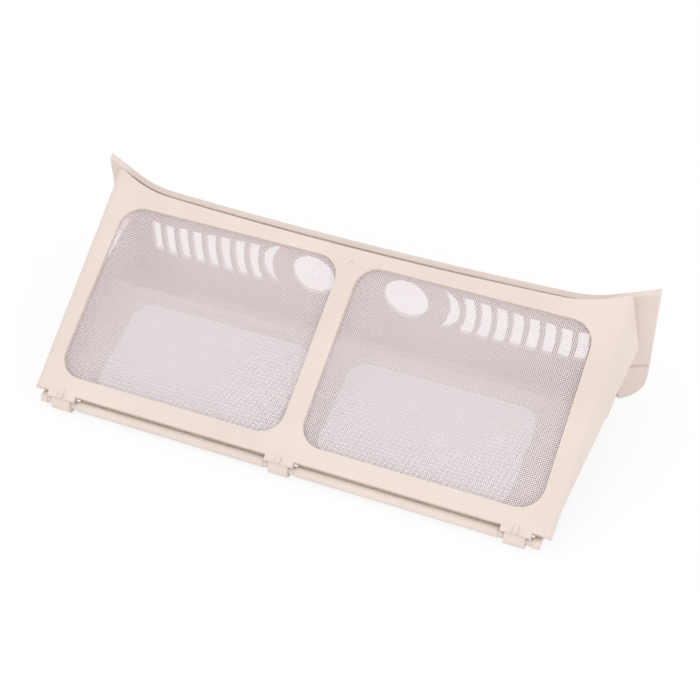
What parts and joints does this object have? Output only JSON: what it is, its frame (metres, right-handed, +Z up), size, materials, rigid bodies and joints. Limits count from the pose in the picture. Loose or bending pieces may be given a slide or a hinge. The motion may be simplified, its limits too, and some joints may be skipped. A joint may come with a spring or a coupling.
{
  "type": "lint filter",
  "caption": "Hinged lint filter: beige moulded front and rear frames with fine mesh windows, a curved slotted grille wall, finger holes and a top lip; it opens like a book for cleaning.",
  "frame": {"origin": "middle of the flat foot under the grille wall", "axes": "+X along the grille wall and the hinge, to the right as seen from the hinge side; +Y from the hinge towards the grille wall; +Z up with the filter lying on its back"},
  "size_m": [0.3, 0.1263, 0.0709],
  "materials": {
    "frame_plastic": "satin",
    "filter_mesh": "matte"
  },
  "bodies": {
    "rear": {"rear_frame": "frame_plastic", "rear_mesh_left": "filter_mesh", "rear_mesh_right": "filter_mesh"},
    "front": {"front_frame": "frame_plastic", "front_mesh_left": "filter_mesh", "front_mesh_right": "filter_mesh"}
  },
  "joints": [
    {"name": "front_hinge", "type": "hinge", "parent": "rear", "child": "front", "pos_m": [0, -0.1, 0.0042], "axis": [1, 0, 0], "range_deg": [0, 90]}
  ]
}
